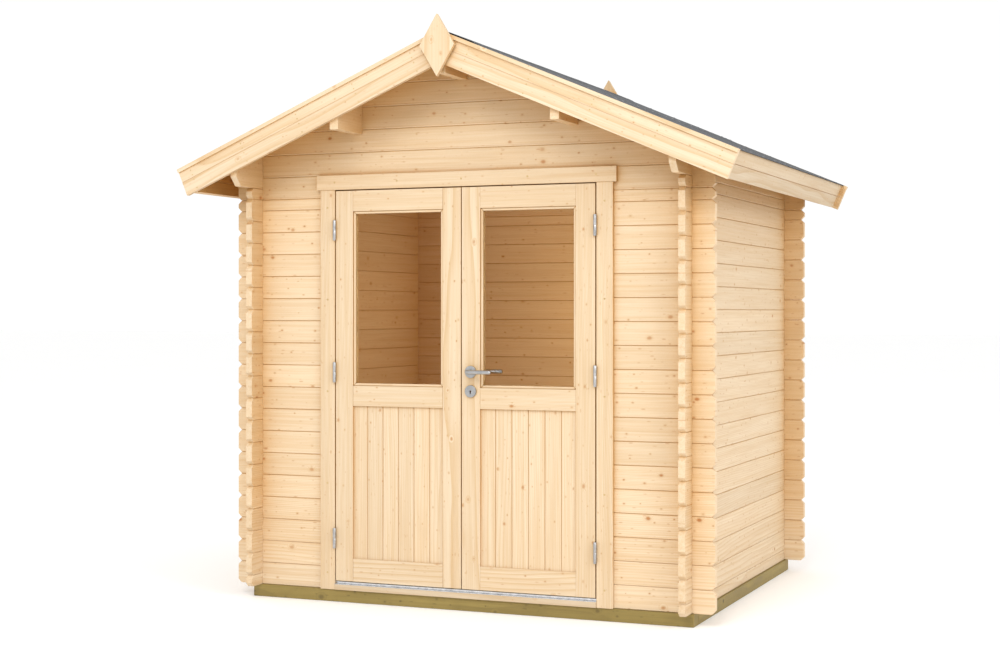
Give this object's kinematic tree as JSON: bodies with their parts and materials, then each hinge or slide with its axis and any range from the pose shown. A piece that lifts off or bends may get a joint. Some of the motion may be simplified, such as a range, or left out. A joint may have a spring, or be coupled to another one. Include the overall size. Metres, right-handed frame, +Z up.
{
  "type": "garden shed",
  "caption": "Small log garden shed with crossed corner logs, a felted gable roof and half-glazed double doors that open outwards on hinges, with a lever handle.",
  "frame": {"origin": "on the ground, under the middle of the shed's box", "axes": "+Z up, the doors face -Y, +X to the right of someone facing the doors"},
  "size_m": [2.58, 2.242, 2.5455],
  "materials": {
    "treated_timber": "sawn, olive green pressure treated",
    "log_spruce": "planed, untreated spruce logs",
    "planed_spruce": "planed, untreated spruce boards",
    "door_spruce": "planed, untreated spruce joinery",
    "roof_felt": "dark grey mineral felt",
    "zinc_steel": "zinc plated",
    "satin_steel": "satin",
    "aluminium_rail": "mill finish",
    "clear_glass": "clear float glass"
  },
  "bodies": {
    "shed": {"front_beam": "treated_timber", "back_beam": "treated_timber", "floor_bearers": "treated_timber", "front_wall_left": "log_spruce", "front_wall_right": "log_spruce", "front_gable": "log_spruce", "back_wall": "log_spruce", "left_wall": "log_spruce", "right_wall": "log_spruce", "floor_boards": "planed_spruce", "ridge_purlin": "planed_spruce", "left_purlin": "planed_spruce", "right_purlin": "planed_spruce", "left_roof_boards": "planed_spruce", "right_roof_boards": "planed_spruce", "front_left_bargeboard": "planed_spruce", "front_right_bargeboard": "planed_spruce", "back_left_bargeboard": "planed_spruce", "back_right_bargeboard": "planed_spruce", "left_fascia": "planed_spruce", "right_fascia": "planed_spruce", "front_diamond": "planed_spruce", "back_diamond": "planed_spruce", "left_jamb": "planed_spruce", "right_jamb": "planed_spruce", "door_head": "planed_spruce", "door_sill": "planed_spruce", "left_casing": "planed_spruce", "right_casing": "planed_spruce", "top_casing": "planed_spruce", "left_felt": "roof_felt", "right_felt": "roof_felt", "threshold_rail": "aluminium_rail", "frame_hinges": "zinc_steel"},
    "door_left": {"left_leaf_frame": "door_spruce", "left_leaf_boards": "door_spruce", "left_leaf_glass": "clear_glass", "left_leaf_beads": "door_spruce", "left_leaf_hinges": "zinc_steel"},
    "door_right": {"right_leaf_frame": "door_spruce", "right_leaf_boards": "door_spruce", "right_leaf_glass": "clear_glass", "right_leaf_beads": "door_spruce", "right_leaf_hinges": "zinc_steel", "lock_roses": "satin_steel"},
    "handle": {"lever_handle": "satin_steel"}
  },
  "joints": [
    {"name": "left_door_hinge", "type": "hinge", "parent": "shed", "child": "door_left", "pos_m": [-0.615, -0.8715, 0.096], "axis": [0, 0, -1], "range_deg": [0, 150]},
    {"name": "right_door_hinge", "type": "hinge", "parent": "shed", "child": "door_right", "pos_m": [0.615, -0.8715, 0.096], "axis": [0, 0, 1], "range_deg": [0, 150]},
    {"name": "lever_turn", "type": "hinge", "parent": "door_right", "child": "handle", "pos_m": [0.0455, -0.843, 1.036], "axis": [0, 1, 0], "range_deg": [0, 40], "stiffness_Nm_per_rad": 1.2}
  ]
}
